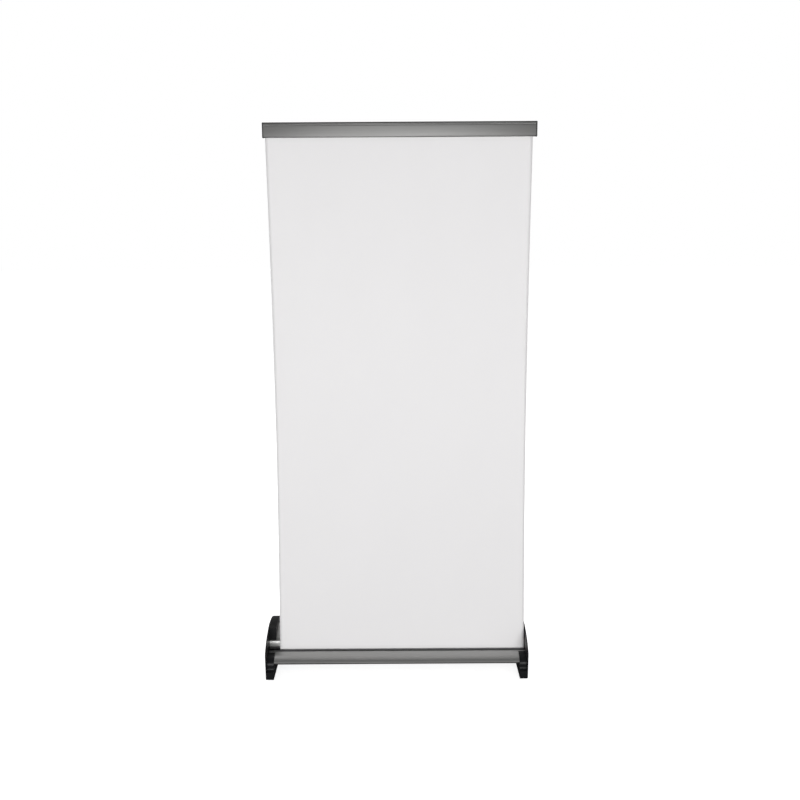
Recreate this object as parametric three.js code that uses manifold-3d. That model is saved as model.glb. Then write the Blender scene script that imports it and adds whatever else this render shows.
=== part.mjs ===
// Roll-up banner stand: a spring roller in a floor base, a telescopic pole behind the banner
// and a clamping rail on top. Millimetres; +X to the right, +Y to the back, +Z up.
// Sections are drawn as [y, z] points measured from the line where the banner leaves the base.
import * as THREE from "three";
import { mergeVertices } from "three/addons/utils/BufferGeometryUtils.js";
import Module from "manifold-3d";

const wasm = await Module();
wasm.setup();

// ---- Driving dimensions ----
const gap = 0.3; // between pieces that touch or slide

const bannerWidth = 1000;
const bannerRise = 2040; // from the slot to the lower edge of the rail
const bannerThickness = 0.4;
const bannerOffset = 21; // the film sits this far right of the middle of the base

const slotHeight = 83; // slot above the floor
const frontReach = 108; // end cap, forward of the banner
const rearReach = 196; // end cap, behind the banner
const domeRise = 100; // top of the end cap above the slot
const plate = 5; // outer wall of an end cap
const screwWall = 2; // wall of an end cap left under a screw's head
const collarDepth = 28; // how far an end cap wraps over the shells
const edgeBevel = 2.5;
const collarProud = 3.5; // collar's front edge stands this far off the front shell
const lipShown = 18; // length of the front shell's lip that the collar leaves bare
const sideRoom = 1.5; // from the film's nearer edge to the end cap's wall

const shellWall = 2;
const lipHeight = 6; // front shell's top above the slot line
const slotFront = 20; // front shell's slot wall, forward of the banner
const slotRear = 8; // rear shell's slot wall, behind the banner
const bellyDepth = 57; // underside of the base below the slot line
const guideWidth = 4; // plastic strips that line the slot
const portRadius = 4.5; // screw ports inside the shells
const portSink = 0.7; // how far a port sinks into its wall

const padThickness = 3;
const padRecess = 1.5;

const rollerRadius = 18;
const rollerWall = 1.5;
const filmTurns = 1; // thickness of film left on the roller
const rollerDrop = 28; // roller axis below the slot line
const bearingPocket = 3.2; // how far a bearing block sinks into its end cap
const pinRadius = 4;
const spindleReach = 260; // from the bearing block into the roller
const springRadius = 9;
const springWire = 1.2;
const springTurns = 10;

const screwRadius = 2;
const screwHead = 4.8;
const screwHeadHeight = 2.4;
const screwLength = 16;
const smallHead = 3.84; // screws on the pole socket and the rail bracket
const smallHeadHeight = 2;

const poleSetback = 40; // pole axis behind the banner
const poleRadii = [14, 12, 10];
const poleWall = 1.2;
const poleOverlap = 88;
const socketFloor = 3;
const socketWall = 4;
const socketRise = 14; // socket above the rear shell
const collarHeight = 40;
const collarGrip = 12; // length of a lock collar that holds its own tube
const collarWall = 4.5;

const railHeight = 56;
const railFront = 15.5; // rail's front face, forward of the banner
const railBack = 12;
const railWall = 2;
const railOverhang = 11.5; // rail beyond each edge of the film
const railCap = 3;
const railShift = 3; // the rail sits this far right of the film's middle
const hingeDrop = 6.5; // hinge bead's axis below the rail's top
const beadRadius = 2.5;

// ---- Worked out from them ----
const halfInside = bannerWidth / 2 + bannerOffset + sideRoom; // to the inner face of an end cap's wall
const halfOutside = halfInside + plate;
const collarFace = halfInside - collarDepth;
const floorZ = -slotHeight;
const capFoot = floorZ + padThickness - padRecess;
const shellHalf = halfInside - gap;
const bearingOuter = halfInside + bearingPocket - gap;
const bearingInner = halfInside - sideRoom + gap; // clear of the film's nearer edge
const rollerHalf = bearingInner - gap;
const rollRadius = rollerRadius + gap + filmTurns;
const rollerY = rollRadius + bannerThickness / 2 + gap;
const railTop = bannerRise + railHeight;
const railHalf = bannerWidth / 2 + railOverhang;
const poleFoot = socketFloor + gap;
const poleTop = railTop - 30; // the bracket covers the pole's last stretch
const sectionLength = (poleTop - poleFoot + 2 * poleOverlap) / 3;

// ---- Materials ----
const finish = (color, roughness, metalness) =>
  new THREE.MeshStandardMaterial({ color, roughness, metalness });
const blackPlastic = finish(0x101113, 0.35, 0);
const silver = finish(0x9b9a98, 0.38, 1);
const darkStrip = finish(0x1b1c1d, 0.8, 0);
const rubber = finish(0x161616, 0.9, 0);
const steel = finish(0x8d8f92, 0.3, 1);
const film = finish(0xe8e6e7, 0.55, 0);

// ---- Making solids ----
function toSolid(geometry) {
  const bare = geometry.index ? geometry.toNonIndexed() : geometry.clone();
  bare.deleteAttribute("normal");
  bare.deleteAttribute("uv");
  const merged = mergeVertices(bare, 1e-4);
  return new wasm.Manifold(
    new wasm.Mesh({
      numProp: 3,
      vertProperties: merged.attributes.position.array,
      triVerts: new Uint32Array(merged.index.array),
    }),
  );
}

function toGeometry(solid) {
  const mesh = solid.getMesh();
  const geometry = new THREE.BufferGeometry();
  geometry.setAttribute("position", new THREE.BufferAttribute(mesh.vertProperties, 3));
  geometry.setIndex(new THREE.BufferAttribute(mesh.triVerts, 1));
  geometry.computeVertexNormals();
  return geometry;
}

const join = (...solids) => solids.reduce((whole, next) => whole.add(next));
const cut = (solid, ...tools) => tools.reduce((left, tool) => left.subtract(tool), solid);

// Extrudes a [y, z] outline along X. The cyclic axes keep the faces pointing out.
const alongX = new THREE.Matrix4().makeBasis(
  new THREE.Vector3(0, 1, 0),
  new THREE.Vector3(0, 0, 1),
  new THREE.Vector3(1, 0, 0),
);
function prism(points, x0, x1, bevel = 0) {
  const shape = new THREE.Shape(points.map(([y, z]) => new THREE.Vector2(y, z)));
  const geometry = new THREE.ExtrudeGeometry(shape, {
    depth: x1 - x0 - 2 * bevel,
    bevelEnabled: bevel > 0,
    bevelThickness: bevel,
    bevelSize: bevel,
    bevelOffset: -bevel,
    bevelSegments: 2,
  });
  geometry.applyMatrix4(alongX);
  geometry.translate(x0 + bevel, 0, 0);
  return toSolid(geometry);
}

function box([x0, x1], [y0, y1], [z0, z1]) {
  const geometry = new THREE.BoxGeometry(x1 - x0, y1 - y0, z1 - z0);
  geometry.translate((x0 + x1) / 2, (y0 + y1) / 2, (z0 + z1) / 2);
  return toSolid(geometry);
}

// Turns a profile of [radius, height] points about Z. It starts and ends on the axis.
function turned(profile, sides = 28) {
  const points = profile.map(([r, z]) => new THREE.Vector2(r, z));
  const geometry = new THREE.LatheGeometry(points, sides);
  geometry.rotateX(Math.PI / 2);
  return toSolid(geometry);
}
const rod = (radius, z0, z1, sides) =>
  turned([[0, z0], [radius, z0], [radius, z1], [0, z1]], sides);
const ring = (outer, inner, z0, z1, sides) =>
  cut(rod(outer, z0, z1, sides), rod(inner, z0 - 1, z1 + 1, sides));

// A solid made about Z, laid along X.
const layAlongX = (solid) => solid.rotate([0, 90, 0]);
const atRoller = (solid) => layAlongX(solid).translate([0, rollerY, -rollerDrop]);
const atPole = (solid) => solid.translate([0, poleSetback, 0]);

// ---- Outlines ----
const smooth = (points, steps) =>
  new THREE.SplineCurve(points.map(([y, z]) => new THREE.Vector2(y, z)))
    .getPoints(steps)
    .map((p) => [p.x, p.y]);

// Moves an open path sideways: left of its direction for a positive distance.
function offsetPath(path, distance) {
  return path.map((point, i) => {
    const before = path[Math.max(i - 1, 0)];
    const after = path[Math.min(i + 1, path.length - 1)];
    const normals = [[before, point], [point, after]]
      .filter(([a, b]) => a !== b)
      .map(([a, b]) => {
        const length = Math.hypot(b[0] - a[0], b[1] - a[1]);
        return [(a[1] - b[1]) / length, (b[0] - a[0]) / length];
      });
    const sum = normals.reduce((total, n) => [total[0] + n[0], total[1] + n[1]], [0, 0]);
    const size = Math.hypot(...sum);
    const unit = [sum[0] / size, sum[1] / size];
    const reach = distance / (unit[0] * normals[0][0] + unit[1] * normals[0][1]);
    return [point[0] + unit[0] * reach, point[1] + unit[1] * reach];
  });
}
const strip = (path, wall) => [...path, ...offsetPath(path, wall).reverse()];

// The three walls of the base, each drawn on its outer face, with the inside on its left.
const noseReach = frontReach - 20;
const noseDrop = 16.5; // front edge of the base below the slot line
const noseUnder = 3.5; // height of the face under that edge
const fascia = smooth(
  [
    [-slotFront - 21, lipHeight - 0.5],
    [-noseReach + 26, lipHeight - 4.5],
    [-noseReach + 8, -7.5],
    [-noseReach, -noseDrop],
  ],
  12,
);
const splitY = -slotFront - 10; // where the front shell meets the tray
const splitZ = -bellyDepth + 8.5;
const frontPath = [
  [-slotFront, -10],
  [-slotFront, lipHeight],
  ...fascia,
  [-noseReach + 4, -noseDrop - noseUnder],
  [splitY, splitZ],
];
const rearFoot = rearReach - 46;
// The tray starts far enough back that the two walls stay apart where the outline bends.
const frontRun = Math.atan2(splitZ + noseDrop + noseUnder, splitY + noseReach - 4);
const trayRun = Math.atan2(-bellyDepth - splitZ, -splitY);
const splitGap = gap + shellWall * Math.tan(Math.abs(trayRun - frontRun));
const trayPath = [
  [splitY + splitGap, splitZ + splitGap * Math.tan(trayRun)],
  [0, -bellyDepth],
  [rearFoot - gap, -bellyDepth],
];
const deckRise = 41; // front edge of the rear shell's top
const ridgeY = 105;
const ridgeRise = 75;
const deckSlope = Math.atan2(ridgeRise - deckRise, ridgeY - slotRear);
const deckAt = (y) => deckRise + (y - slotRear) * Math.tan(deckSlope);
const rearPath = [
  [rearFoot, -bellyDepth],
  [rearReach - 24, -bellyDepth],
  ...smooth(
    [
      [rearReach - 16, -bellyDepth + 9],
      [rearReach - 14, -10],
      [rearReach - 17, 30],
      [rearReach - 30, 55],
      [rearReach - 57, 71],
      [ridgeY, ridgeRise],
    ],
    20,
  ),
  ...smooth(
    [
      [slotRear + 14, deckAt(slotRear + 14)],
      [slotRear + 5, deckRise - 1],
      [slotRear + 1, deckRise - 8],
      [slotRear, deckRise - 17],
    ],
    8,
  ),
  [slotRear, 0],
];

// Screw ports run the length of the shells, inside their walls.
const portInset = shellWall + portRadius - portSink;
const frontPortY = -slotFront - 26;
const fasciaEdge = fascia.findIndex(([y]) => y < frontPortY);
const ports = [
  { name: "front", y: frontPortY, z: fascia[fasciaEdge][1] - portInset },
  { name: "top", y: ridgeY - 4, z: deckAt(ridgeY - 4) - portInset },
  { name: "rear", y: rearReach - 14 - portInset, z: -10 },
  { name: "belly", y: 75, z: -bellyDepth + portInset },
];
const portBody = (port) =>
  layAlongX(rod(portRadius, -shellHalf, shellHalf, 16)).translate([0, port.y, port.z]);
const portHole = (port) =>
  layAlongX(rod(screwRadius + gap, -shellHalf - 1, shellHalf + 1, 16)).translate([
    0,
    port.y,
    port.z,
  ]);
function shell(path, ...ownPorts) {
  const wall = prism(strip(path, shellWall), -shellHalf, shellHalf);
  return cut(join(wall, ...ownPorts.map(portBody)), ...ownPorts.map(portHole));
}

// ---- End caps ----
const capOutline = [
  [-frontReach * 0.94, capFoot],
  ...smooth(
    [
      [-frontReach, 5],
      [-frontReach * 0.965, domeRise * 0.33],
      [-frontReach * 0.5, domeRise * 0.71],
      [rearReach * 0.06, domeRise * 0.93],
      [rearReach * 0.31, domeRise],
      [rearReach * 0.66, domeRise * 0.93],
      [rearReach * 0.93, domeRise * 0.725],
      [rearReach, domeRise * 0.38],
    ],
    36,
  ),
  [rearReach * 0.97, capFoot],
];
// What the collar leaves open in front: the slot and the front shell's lip.
const collarOpening = [
  [slotRear, domeRise + 20],
  [slotRear, lipHeight],
  ...offsetPath(fascia, -collarProud),
  ...smooth(
    [
      [-noseReach - collarProud - 1, -noseDrop - 8],
      [-noseReach - collarProud - 6, -noseDrop - 24],
      [-frontReach - 4, -noseDrop - 34],
    ],
    6,
  ),
  [-frontReach - 10, domeRise + 20],
];
const shellSpace = offsetPath([...frontPath.slice(1), ...trayPath, ...rearPath], -gap);
const padLength = 60;
const padWidth = plate + collarDepth - 10;
const padX = (halfOutside + collarFace) / 2;
const padPlaces = { front: -frontReach * 0.94 + 40, rear: rearReach * 0.97 - 40 };
function footPad(side, y, room) {
  const x = side * padX;
  return box(
    [x - padWidth / 2 - room, x + padWidth / 2 + room],
    [y - padLength / 2 - room, y + padLength / 2 + room],
    [floorZ, floorZ + padThickness + room],
  );
}
function endCap(side) {
  const inCollar = [collarFace - 1, halfInside];
  const outer = prism(capOutline, halfInside, halfOutside, edgeBevel);
  const collar = cut(
    prism(capOutline, collarFace, halfOutside - edgeBevel),
    prism(shellSpace, ...inCollar),
    prism(collarOpening, ...inCollar),
    box(inCollar, [-slotFront, slotRear], [-slotFront, domeRise]),
    box(inCollar, [-slotFront - lipShown, slotRear], [lipHeight - 1, domeRise]),
  );
  const holes = ports.flatMap((port) => [
    layAlongX(rod(screwRadius + gap, halfInside - 1, halfOutside + 1, 16)),
    layAlongX(rod(screwHead + gap, halfInside + screwWall, halfOutside + 1, 16)),
  ].map((hole) => hole.translate([0, port.y, port.z])));
  const cap = cut(join(outer, collar), bearingPocketCut(), ...holes);
  const placed = side > 0 ? cap : cap.mirror([1, 0, 0]);
  return cut(placed, ...Object.values(padPlaces).map((y) => footPad(side, y, gap)));
}
// A round-headed screw along Z, with the underside of its head at 0.
function screw(length, headRadius, headHeight) {
  return turned(
    [
      [0, -length],
      [screwRadius, -length],
      [screwRadius, 0],
      [headRadius, 0],
      [headRadius, headHeight * 0.45],
      [headRadius * 0.6, headHeight],
      [0, headHeight],
    ],
    16,
  );
}
function capScrew(side, port) {
  const seat = halfInside + screwWall + gap;
  const placed = layAlongX(screw(screwLength, screwHead, screwHeadHeight).translate([0, 0, seat]));
  return (side > 0 ? placed : placed.mirror([1, 0, 0])).translate([0, port.y, port.z]);
}

// ---- Base fittings ----
const guideTop = lipHeight + gap;
const guideFoot = -6;
const guideCap = 1.5; // the strip's thickness over the front shell's lip
const frontGuide = [
  [-slotFront - guideWidth, guideTop],
  [-slotFront + gap, guideTop],
  [-slotFront + gap, guideFoot],
  [-slotFront + guideWidth, guideFoot],
  [-slotFront + guideWidth, guideTop + guideCap],
  [-slotFront - guideWidth, guideTop + guideCap],
];
const rearGuideBottom = 2;
const rearGuideTop = 13.5;
const rearGuide = [
  [slotRear - gap, rearGuideBottom],
  [slotRear - gap, rearGuideTop],
  [slotRear - guideWidth, rearGuideTop],
  [slotRear - guideWidth, rearGuideBottom],
];
const bearingRadius = 14;
const bearingFoot = rollerDrop - bellyDepth + shellWall + 2;
function bearingPocketCut() {
  const reach = [halfInside - 1, halfInside + bearingPocket];
  const radius = bearingRadius + gap;
  return join(
    layAlongX(rod(radius, ...reach, 32)),
    box(reach, [-radius, radius], [bearingFoot - gap, 0]),
  ).translate([0, rollerY, -rollerDrop]);
}
function bearingBlock(side) {
  const block = join(
    layAlongX(rod(bearingRadius, bearingInner, bearingOuter, 32)),
    box([bearingInner, bearingOuter], [-bearingRadius, bearingRadius], [bearingFoot, 0]),
  );
  const bored = cut(block, layAlongX(rod(pinRadius + gap, bearingInner - 1, halfOutside, 20)));
  const placed = side > 0 ? bored : bored.mirror([1, 0, 0]);
  return placed.translate([0, rollerY, -rollerDrop]);
}

const socketTop = deckAt(poleSetback) + socketRise;
const socketRadius = poleRadii[0] + gap + socketWall;
const flangeHalf = socketRadius + 14;
const flangeReach = socketRadius + 5;
const flangeThickness = 4;
const flangeScrewX = socketRadius + 7;
const deckNormal = (along, up) => [
  poleSetback + along * Math.cos(deckSlope) - up * Math.sin(deckSlope),
  deckAt(poleSetback) + along * Math.sin(deckSlope) + up * Math.cos(deckSlope),
];
const onDeck = (solid, x) => {
  const [y, z] = deckNormal(0, gap + flangeThickness);
  return solid.rotate([(deckSlope * 180) / Math.PI, 0, 0]).translate([x, y, z]);
};
function poleSocket() {
  const flange = prism(
    [
      deckNormal(-flangeReach, gap),
      deckNormal(flangeReach, gap),
      deckNormal(flangeReach, gap + flangeThickness),
      deckNormal(-flangeReach, gap + flangeThickness),
    ],
    -flangeHalf,
    flangeHalf,
    0.8,
  );
  const barrel = atPole(
    turned([
      [0, 0],
      [socketRadius, 0],
      [socketRadius, socketTop - 2],
      [socketRadius - 1.5, socketTop],
      [0, socketTop],
    ], 36),
  );
  const bore = atPole(rod(poleRadii[0] + gap, socketFloor, socketTop + 1, 28));
  const screwHoles = [-flangeScrewX, flangeScrewX].map((x) =>
    onDeck(rod(screwRadius + gap, -20, 20, 16), x));
  return cut(join(flange, barrel), bore, ...screwHoles);
}
const flangeScrewLength = flangeThickness + 2 * gap + shellWall + 4;
const flangeScrew = (x) =>
  onDeck(screw(flangeScrewLength, smallHead, smallHeadHeight).translate([0, 0, gap]), x);
function rearShell() {
  const socketHole = atPole(rod(socketRadius + gap, 0, ridgeRise + 5, 36));
  const screwHoles = [-flangeScrewX, flangeScrewX].map((x) =>
    onDeck(rod(screwRadius + gap, -12, 2, 16), x));
  return cut(shell(rearPath, ports[1], ports[2]), socketHole, ...screwHoles);
}

// ---- Roller ----
const tubeBore = rollerRadius - rollerWall;
const plugLength = 20;
const shoulderWidth = 6; // collar on the spindle that holds the spring's fixed end
const shoulderRadius = springRadius + 3;
const endPlay = 0.5; // along the roller
const spindleShoulder = rollerHalf - plugLength - 8;
const anchorAt = bearingInner - spindleReach + 30;
const spindleTip = anchorAt - 25;
const plug = (x0, x1) => ring(tubeBore - gap, pinRadius + gap, x0, x1, 28);
const idlerPlug = () =>
  turned([
    [0, -bearingOuter + endPlay],
    [pinRadius, -bearingOuter + endPlay],
    [pinRadius, -rollerHalf + gap],
    [tubeBore - gap, -rollerHalf + gap],
    [tubeBore - gap, -rollerHalf + plugLength],
    [0, -rollerHalf + plugLength],
  ]);
const spindle = () =>
  turned([
    [0, spindleTip],
    [pinRadius, spindleTip],
    [pinRadius, spindleShoulder - shoulderWidth],
    [shoulderRadius, spindleShoulder - shoulderWidth],
    [shoulderRadius, spindleShoulder],
    [pinRadius, spindleShoulder],
    [pinRadius, bearingOuter - endPlay],
    [0, bearingOuter - endPlay],
  ], 20);
class Helix extends THREE.Curve {
  constructor(radius, start, end, turns) {
    super();
    Object.assign(this, { radius, start, end, turns });
  }
  getPoint(t, target = new THREE.Vector3()) {
    const angle = t * this.turns * 2 * Math.PI;
    const x = this.start + (this.end - this.start) * t;
    return target.set(x, this.radius * Math.cos(angle), this.radius * Math.sin(angle));
  }
}
function torsionSpring() {
  const start = anchorAt + springWire + endPlay;
  const end = spindleShoulder - shoulderWidth - springWire - endPlay;
  const section = new THREE.Shape();
  section.absarc(0, 0, springWire, 0, 2 * Math.PI);
  const geometry = new THREE.ExtrudeGeometry(section, {
    steps: springTurns * 12,
    curveSegments: 3,
    extrudePath: new Helix(springRadius, start, end, springTurns),
  });
  geometry.translate(0, rollerY, -rollerDrop);
  return geometry;
}

// ---- Pole ----
const sections = poleRadii.map((radius, i) => {
  const bottom = poleFoot + i * (sectionLength - poleOverlap);
  return { radius, bore: radius - poleWall, bottom, top: bottom + sectionLength };
});
const flangeHeight = 3;
const bushLength = 14; // the part of a foot bush inside its tube
const poleTube = ({ radius, bore, bottom, top }) =>
  atPole(ring(radius, bore, bottom + flangeHeight + gap, top, 28));
// A plug in the foot of a section, with a flange that fills the bore around it.
const footBush = ({ bore, bottom }, flangeRadius) =>
  atPole(
    turned([
      [0, bottom],
      [flangeRadius, bottom],
      [flangeRadius, bottom + flangeHeight],
      [bore - gap, bottom + flangeHeight],
      [bore - gap, bottom + flangeHeight + bushLength],
      [0, bottom + flangeHeight + bushLength],
    ]),
  );
const gripLobes = 14; // ribs around a lock collar
const gripDepth = 0.5;
function lockCollar(outer, inner) {
  const bottom = outer.top - collarGrip;
  const radius = outer.radius + gap + collarWall;
  const steps = gripLobes * 4;
  const outline = Array.from({ length: steps }, (_, i) => {
    const angle = (i / steps) * 2 * Math.PI;
    const r = radius - gripDepth + gripDepth * Math.cos(angle * gripLobes);
    return new THREE.Vector2(r * Math.cos(angle), r * Math.sin(angle));
  });
  const grip = new THREE.ExtrudeGeometry(new THREE.Shape(outline), {
    depth: collarHeight - 4,
    bevelThickness: 2,
    bevelSize: 1,
    bevelOffset: -1,
    bevelSegments: 1,
  });
  grip.translate(0, 0, bottom + 2);
  return atPole(
    cut(
      toSolid(grip),
      rod(outer.radius + gap, bottom - 1, outer.top + gap, 28),
      rod(inner.radius + gap, bottom, bottom + collarHeight + 1, 28),
    ),
  );
}
const tipRise = 8; // the tip above the top tube
function poleTip({ radius, bore, top }) {
  return atPole(
    turned([
      [0, top - bushLength],
      [bore - gap, top - bushLength],
      [bore - gap, top + gap],
      [radius - 0.4, top + gap],
      [radius - 0.4, top + 5],
      [radius - 3, top + tipRise],
      [0, top + tipRise],
    ]),
  );
}

// ---- Rail ----
const railEnd = railHalf - railCap - gap;
const railMiddle = bannerOffset + railShift;
const bead = [-railFront + hingeDrop, railTop - hingeDrop];
const noseRadius = hingeDrop;
const arc = (radius, from, to, steps) =>
  Array.from({ length: steps + 1 }, (_, i) => {
    const angle = ((from + ((to - from) * i) / steps) * Math.PI) / 180;
    return [bead[0] + radius * Math.cos(angle), bead[1] + radius * Math.sin(angle)];
  });
const socketRoom = beadRadius + gap;
const landFront = 3; // the land that the grip strip sits on, behind the film
const landTop = bannerRise + 12;
const filmHeld = 14; // length of film inside the rail
// Nose with the hinge groove, top wall, back wall and the land that the grip strip sits on.
const railBackSection = [
  ...arc(noseRadius, 190, 90, 10),
  [railBack - 3, railTop],
  [railBack, railTop - 3],
  [railBack, bannerRise + 1],
  [landFront, bannerRise + 1],
  [landFront, landTop],
  [railBack - railWall, landTop],
  [railBack - railWall, railTop - 5],
  [railBack - railWall - 2, railTop - railWall - 1],
  [bead[0] + noseRadius - 0.5, railTop - railWall - 1],
  ...arc(noseRadius - 1, 20, -70, 5),
  ...arc(socketRoom, -70, 190, 20),
];
const jawTop = bead[1] - 5.6;
const jawPath = [
  [-1, bannerRise + 5],
  [-1.6, bannerRise + 1.5],
  [-4, bannerRise + 0.3],
  [-railFront + 3, bannerRise + 0.3],
  [-railFront, bannerRise + 4],
  [-railFront, jawTop],
];
// The jaw's bead and the neck that hangs its front plate from the hinge.
function railJaw() {
  const x = [-railEnd + 1, railEnd - 1];
  const front = prism(strip(jawPath, -railWall), ...x);
  const neck = box(x, [bead[0] - 0.8, bead[0] + 0.8], [jawTop - railWall, bead[1]]);
  const shelf = box(x, [-railFront + 1, bead[0] + 0.8], [jawTop - railWall, jawTop]);
  const hinge = layAlongX(rod(beadRadius, ...x, 20)).translate([0, ...bead]);
  return join(front, neck, shelf, hinge).translate([railMiddle, 0, 0]);
}
const railCapSection = [
  ...arc(noseRadius, 180, 90, 8),
  [railBack - 3, railTop],
  [railBack, railTop - 3],
  [railBack, bannerRise],
  [-railFront + 3, bannerRise],
  [-railFront, bannerRise + 3],
];
function railEndCap(side) {
  const cover = prism(railCapSection, railHalf - railCap, railHalf);
  const tongue = box(
    [railEnd - 10, railHalf - 1],
    [railBack - railWall - gap - 3, railBack - railWall - gap],
    [bannerRise + 14, railTop - 10],
  );
  const cap = join(cover, tongue);
  return (side > 0 ? cap : cap.mirror([1, 0, 0])).translate([railMiddle, 0, 0]);
}
const bracketBottom = bannerRise + 6;
const bracketTop = railTop - 4;
const bracketHalf = 30;
const bracketPlate = 3;
const bracketScrewX = 23;
const cupWall = 3.5;
function poleBracket() {
  const top = sections[2];
  const holder = top.radius + gap + cupWall;
  const back = railBack + gap;
  const body = join(
    box([-bracketHalf, bracketHalf], [back, back + bracketPlate], [bracketBottom, bracketTop]),
    box([-holder * 0.8, holder * 0.8], [back + 1, poleSetback], [bracketBottom, bracketTop]),
    atPole(rod(holder, bracketBottom, bracketTop, 32)),
  );
  const bore = atPole(rod(top.radius + gap, bracketBottom - 1, top.top + tipRise + gap, 28));
  const holes = [-bracketScrewX, bracketScrewX].map((x) => bracketHole(x));
  return cut(body, bore, ...holes);
}
const bracketScrewZ = (bracketBottom + bracketTop) / 2;
const alongY = (solid, x) =>
  solid.rotate([-90, 0, 0]).translate([x, railBack + gap + bracketPlate, bracketScrewZ]);
const bracketHole = (x) => alongY(rod(screwRadius + gap, -10, 5, 16), x);
const bracketScrewLength = bracketPlate + 2 * gap + railWall + 2;
const bracketScrew = (x) =>
  alongY(screw(bracketScrewLength, smallHead, smallHeadHeight).translate([0, 0, gap]), x);
function railBackPiece() {
  const x = [railMiddle - railEnd, railMiddle + railEnd];
  const holes = [-bracketScrewX, bracketScrewX].map((place) => bracketHole(place));
  return cut(prism(railBackSection, ...x), ...holes);
}

// ---- Assembly ----
const stand = new THREE.Group();
const fromSlot = new THREE.Group();
const capReach = capOutline.map(([y]) => y);
fromSlot.position.set(
  (halfOutside - Math.max(halfOutside, railMiddle + railHalf)) / 2,
  -(Math.min(...capReach) + Math.max(...capReach)) / 2,
  slotHeight,
);
stand.add(fromSlot);

function add(name, shape, material) {
  const mesh = new THREE.Mesh(shape.isBufferGeometry ? shape : toGeometry(shape), material);
  mesh.name = name;
  fromSlot.add(mesh);
}

const sides = { left: -1, right: 1 };
const filmX = [bannerOffset - bannerWidth / 2, bannerOffset + bannerWidth / 2];

add("front_shell", shell(frontPath, ports[0]), silver);
add("rear_shell", rearShell(), silver);
add("base_tray", shell(trayPath, ports[3]), silver);
add("slot_guide_front", prism(frontGuide, -shellHalf, shellHalf), darkStrip);
add("slot_guide_rear", prism(rearGuide, -shellHalf, shellHalf), darkStrip);
for (const [name, side] of Object.entries(sides)) {
  add(name + "_end_cap", endCap(side), blackPlastic);
  add(name + "_bearing_block", bearingBlock(side), blackPlastic);
  for (const [place, y] of Object.entries(padPlaces)) {
    add(name + "_" + place + "_foot_pad", footPad(side, y, 0), rubber);
  }
  for (const port of ports) {
    add(name + "_cap_screw_" + port.name, capScrew(side, port), steel);
  }
}

add("roller_tube", atRoller(ring(rollerRadius, tubeBore, -rollerHalf, rollerHalf, 32)), silver);
add("idler_plug", atRoller(idlerPlug()), blackPlastic);
add("drive_plug", atRoller(plug(rollerHalf - plugLength, rollerHalf - gap)), blackPlastic);
add("spring_anchor", atRoller(plug(anchorAt - plugLength, anchorAt)), blackPlastic);
add("spring_spindle", atRoller(spindle()), steel);
add("torsion_spring", torsionSpring(), steel);
add("banner_roll", atRoller(ring(rollRadius, rollerRadius + gap, ...filmX, 32)), film);
add(
  "banner_panel",
  box(filmX, [-bannerThickness / 2, bannerThickness / 2], [-rollerDrop, bannerRise + filmHeld]),
  film,
);

add("pole_socket", poleSocket(), blackPlastic);
add("socket_screw_left", flangeScrew(-flangeScrewX), steel);
add("socket_screw_right", flangeScrew(flangeScrewX), steel);
["lower", "middle", "top"].forEach((name, i) => {
  const flangeRadius = i ? sections[i - 1].bore - gap : poleRadii[0] - gap;
  add("pole_" + name + "_tube", poleTube(sections[i]), silver);
  add("pole_" + name + "_bush", footBush(sections[i], flangeRadius), blackPlastic);
});
add("lower_lock_collar", lockCollar(sections[0], sections[1]), blackPlastic);
add("upper_lock_collar", lockCollar(sections[1], sections[2]), blackPlastic);
add("pole_tip", poleTip(sections[2]), blackPlastic);

const gripX = [railMiddle - railEnd + 2, railMiddle + railEnd - 2];
add("rail_back", railBackPiece(), silver);
add("rail_front_jaw", railJaw(), silver);
add("rail_grip_strip", box(gripX, [0.6, landFront - gap], [bannerRise + 2, landTop - 1]), rubber);
add("rail_end_cap_left", railEndCap(-1), blackPlastic);
add("rail_end_cap_right", railEndCap(1), blackPlastic);
add("rail_pole_bracket", poleBracket(), blackPlastic);
add("bracket_screw_left", bracketScrew(-bracketScrewX), steel);
add("bracket_screw_right", bracketScrew(bracketScrewX), steel);

export default stand;
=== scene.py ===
"""Roll-up banner stand: rounded metal and plastic pieces, finishes and film around its frame.

Lengths in the sections are millimetres, counted from the line where the film leaves the base:
y to the back, z up. Everything that reaches Blender is in metres, in the frame's own axes.
"""

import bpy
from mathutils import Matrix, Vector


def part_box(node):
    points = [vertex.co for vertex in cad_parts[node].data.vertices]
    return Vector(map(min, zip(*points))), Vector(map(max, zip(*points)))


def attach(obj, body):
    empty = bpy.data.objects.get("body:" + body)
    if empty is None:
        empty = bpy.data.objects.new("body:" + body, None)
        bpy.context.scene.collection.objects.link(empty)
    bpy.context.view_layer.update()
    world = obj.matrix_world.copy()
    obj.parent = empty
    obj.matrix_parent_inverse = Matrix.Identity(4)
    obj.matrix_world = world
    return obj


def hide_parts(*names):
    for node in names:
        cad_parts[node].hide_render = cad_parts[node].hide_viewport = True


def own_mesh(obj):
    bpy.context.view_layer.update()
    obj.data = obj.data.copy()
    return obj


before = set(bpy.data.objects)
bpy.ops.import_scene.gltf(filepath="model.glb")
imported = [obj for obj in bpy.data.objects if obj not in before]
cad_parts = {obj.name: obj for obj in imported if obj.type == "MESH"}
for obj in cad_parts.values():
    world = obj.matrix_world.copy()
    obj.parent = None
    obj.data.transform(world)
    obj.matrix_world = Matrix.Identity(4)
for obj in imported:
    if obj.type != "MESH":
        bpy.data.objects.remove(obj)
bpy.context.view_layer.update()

import math

import bmesh
import bpy
from mathutils import Matrix, Vector, noise

bl_info = {
    "name": "Roll-up Banner Stand",
    "version": (1, 0, 0),
    "blender": (4, 5, 0),
    "location": "View3D > Sidebar > Banner",
    "description": "Builds the visible pieces of a roll-up banner stand around its frame",
    "category": "Object",
}

MM = 0.001
WELD = 1e-7
TINY = 1e-9
SHARP = 32


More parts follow.
